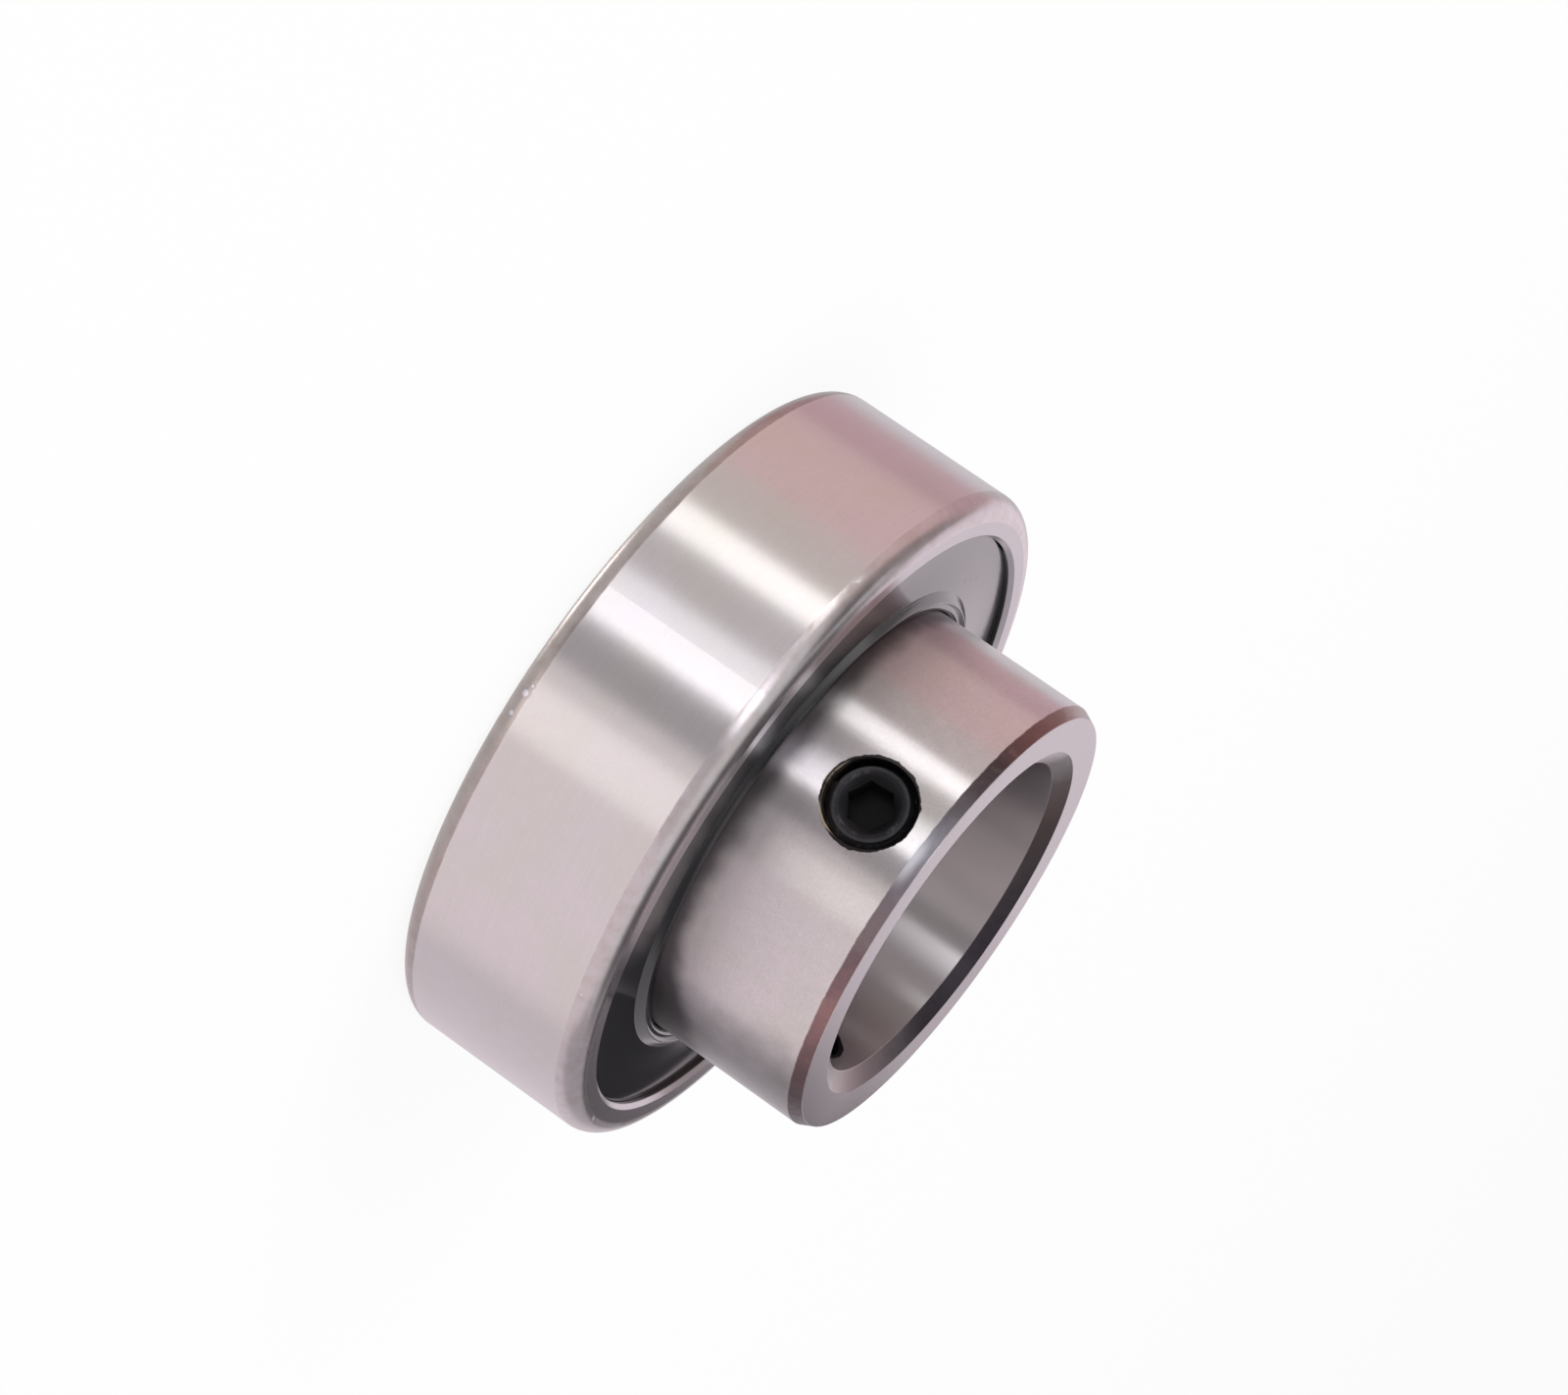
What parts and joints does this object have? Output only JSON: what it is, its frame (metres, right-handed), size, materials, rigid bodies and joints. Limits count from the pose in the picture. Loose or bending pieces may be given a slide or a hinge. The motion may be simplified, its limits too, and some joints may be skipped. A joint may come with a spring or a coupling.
{
  "type": "insert bearing",
  "caption": "Sealed insert bearing with a cylindrical outer ring and a long inner ring whose collar is locked to its shaft by radial set screws.",
  "frame": {"origin": "on the bearing's axis, in the middle of the outer ring's width", "axes": "+Z along the axis towards the extended end that carries the set screws, +X towards the first set screw"},
  "size_m": [0.052, 0.052, 0.027],
  "materials": {
    "ring_steel": "ground bearing steel, satin bright, with unground brownish rims",
    "ball_steel": "lapped bright",
    "cage_steel": "pressed strip, matt",
    "seal_rubber": "smooth glossy black",
    "screw_steel": "black oxide"
  },
  "bodies": {
    "outer": {"outer_ring": "ring_steel", "front_seal": "seal_rubber", "back_seal": "seal_rubber"},
    "inner": {"inner_ring": "ring_steel"},
    "cage": {"cage_front": "cage_steel", "cage_back": "cage_steel", "cage_rivets": "cage_steel"},
    "ball_1": {"ball_1": "ball_steel"},
    "ball_2": {"ball_2": "ball_steel"},
    "ball_3": {"ball_3": "ball_steel"},
    "ball_4": {"ball_4": "ball_steel"},
    "ball_5": {"ball_5": "ball_steel"},
    "ball_6": {"ball_6": "ball_steel"},
    "ball_7": {"ball_7": "ball_steel"},
    "ball_8": {"ball_8": "ball_steel"},
    "ball_9": {"ball_9": "ball_steel"},
    "screw_1": {"set_screw_1": "screw_steel"},
    "screw_2": {"set_screw_2": "screw_steel"}
  },
  "joints": [
    {"name": "inner_spin", "type": "hinge", "parent": "outer", "child": "inner", "pos_m": [0, 0, 0], "axis": [0, 0, 1], "continuous": true},
    {"name": "cage_spin", "type": "hinge", "parent": "outer", "child": "cage", "pos_m": [0, 0, 0], "axis": [0, 0, 1], "continuous": true},
    {"name": "ball_1_spin", "type": "hinge", "parent": "cage", "child": "ball_1", "pos_m": [0.01953, 0, 0], "axis": [0, 0, 1], "continuous": true},
    {"name": "ball_2_spin", "type": "hinge", "parent": "cage", "child": "ball_2", "pos_m": [0.01496, 0.01255, 0], "axis": [0, 0, 1], "continuous": true},
    {"name": "ball_3_spin", "type": "hinge", "parent": "cage", "child": "ball_3", "pos_m": [0.00339, 0.01923, 0], "axis": [0, 0, 1], "continuous": true},
    {"name": "ball_4_spin", "type": "hinge", "parent": "cage", "child": "ball_4", "pos_m": [-0.00976, 0.01691, 0], "axis": [0, 0, 1], "continuous": true},
    {"name": "ball_5_spin", "type": "hinge", "parent": "cage", "child": "ball_5", "pos_m": [-0.01835, 0.00668, 0], "axis": [0, 0, 1], "continuous": true},
    {"name": "ball_6_spin", "type": "hinge", "parent": "cage", "child": "ball_6", "pos_m": [-0.01835, -0.00668, 0], "axis": [0, 0, 1], "continuous": true},
    {"name": "ball_7_spin", "type": "hinge", "parent": "cage", "child": "ball_7", "pos_m": [-0.00976, -0.01691, 0], "axis": [0, 0, 1], "continuous": true},
    {"name": "ball_8_spin", "type": "hinge", "parent": "cage", "child": "ball_8", "pos_m": [0.00339, -0.01923, 0], "axis": [0, 0, 1], "continuous": true},
    {"name": "ball_9_spin", "type": "hinge", "parent": "cage", "child": "ball_9", "pos_m": [0.01496, -0.01255, 0], "axis": [0, 0, 1], "continuous": true},
    {"name": "screw_1_travel", "type": "slide", "parent": "inner", "child": "screw_1", "axis": [1, 0, 0], "range_m": [-0.00005, 0.003]},
    {"name": "screw_2_travel", "type": "slide", "parent": "inner", "child": "screw_2", "axis": [-0.5, 0.866, 0], "range_m": [-0.00005, 0.003]}
  ],
  "couplings": [
    {"joint": "cage_spin", "follows": "inner_spin", "ratio": 0.39836},
    {"joint": "ball_1_spin", "follows": "inner_spin", "ratio": -2.358},
    {"joint": "ball_2_spin", "follows": "inner_spin", "ratio": -2.358},
    {"joint": "ball_3_spin", "follows": "inner_spin", "ratio": -2.358},
    {"joint": "ball_4_spin", "follows": "inner_spin", "ratio": -2.358},
    {"joint": "ball_5_spin", "follows": "inner_spin", "ratio": -2.358},
    {"joint": "ball_6_spin", "follows": "inner_spin", "ratio": -2.358},
    {"joint": "ball_7_spin", "follows": "inner_spin", "ratio": -2.358},
    {"joint": "ball_8_spin", "follows": "inner_spin", "ratio": -2.358},
    {"joint": "ball_9_spin", "follows": "inner_spin", "ratio": -2.358}
  ]
}
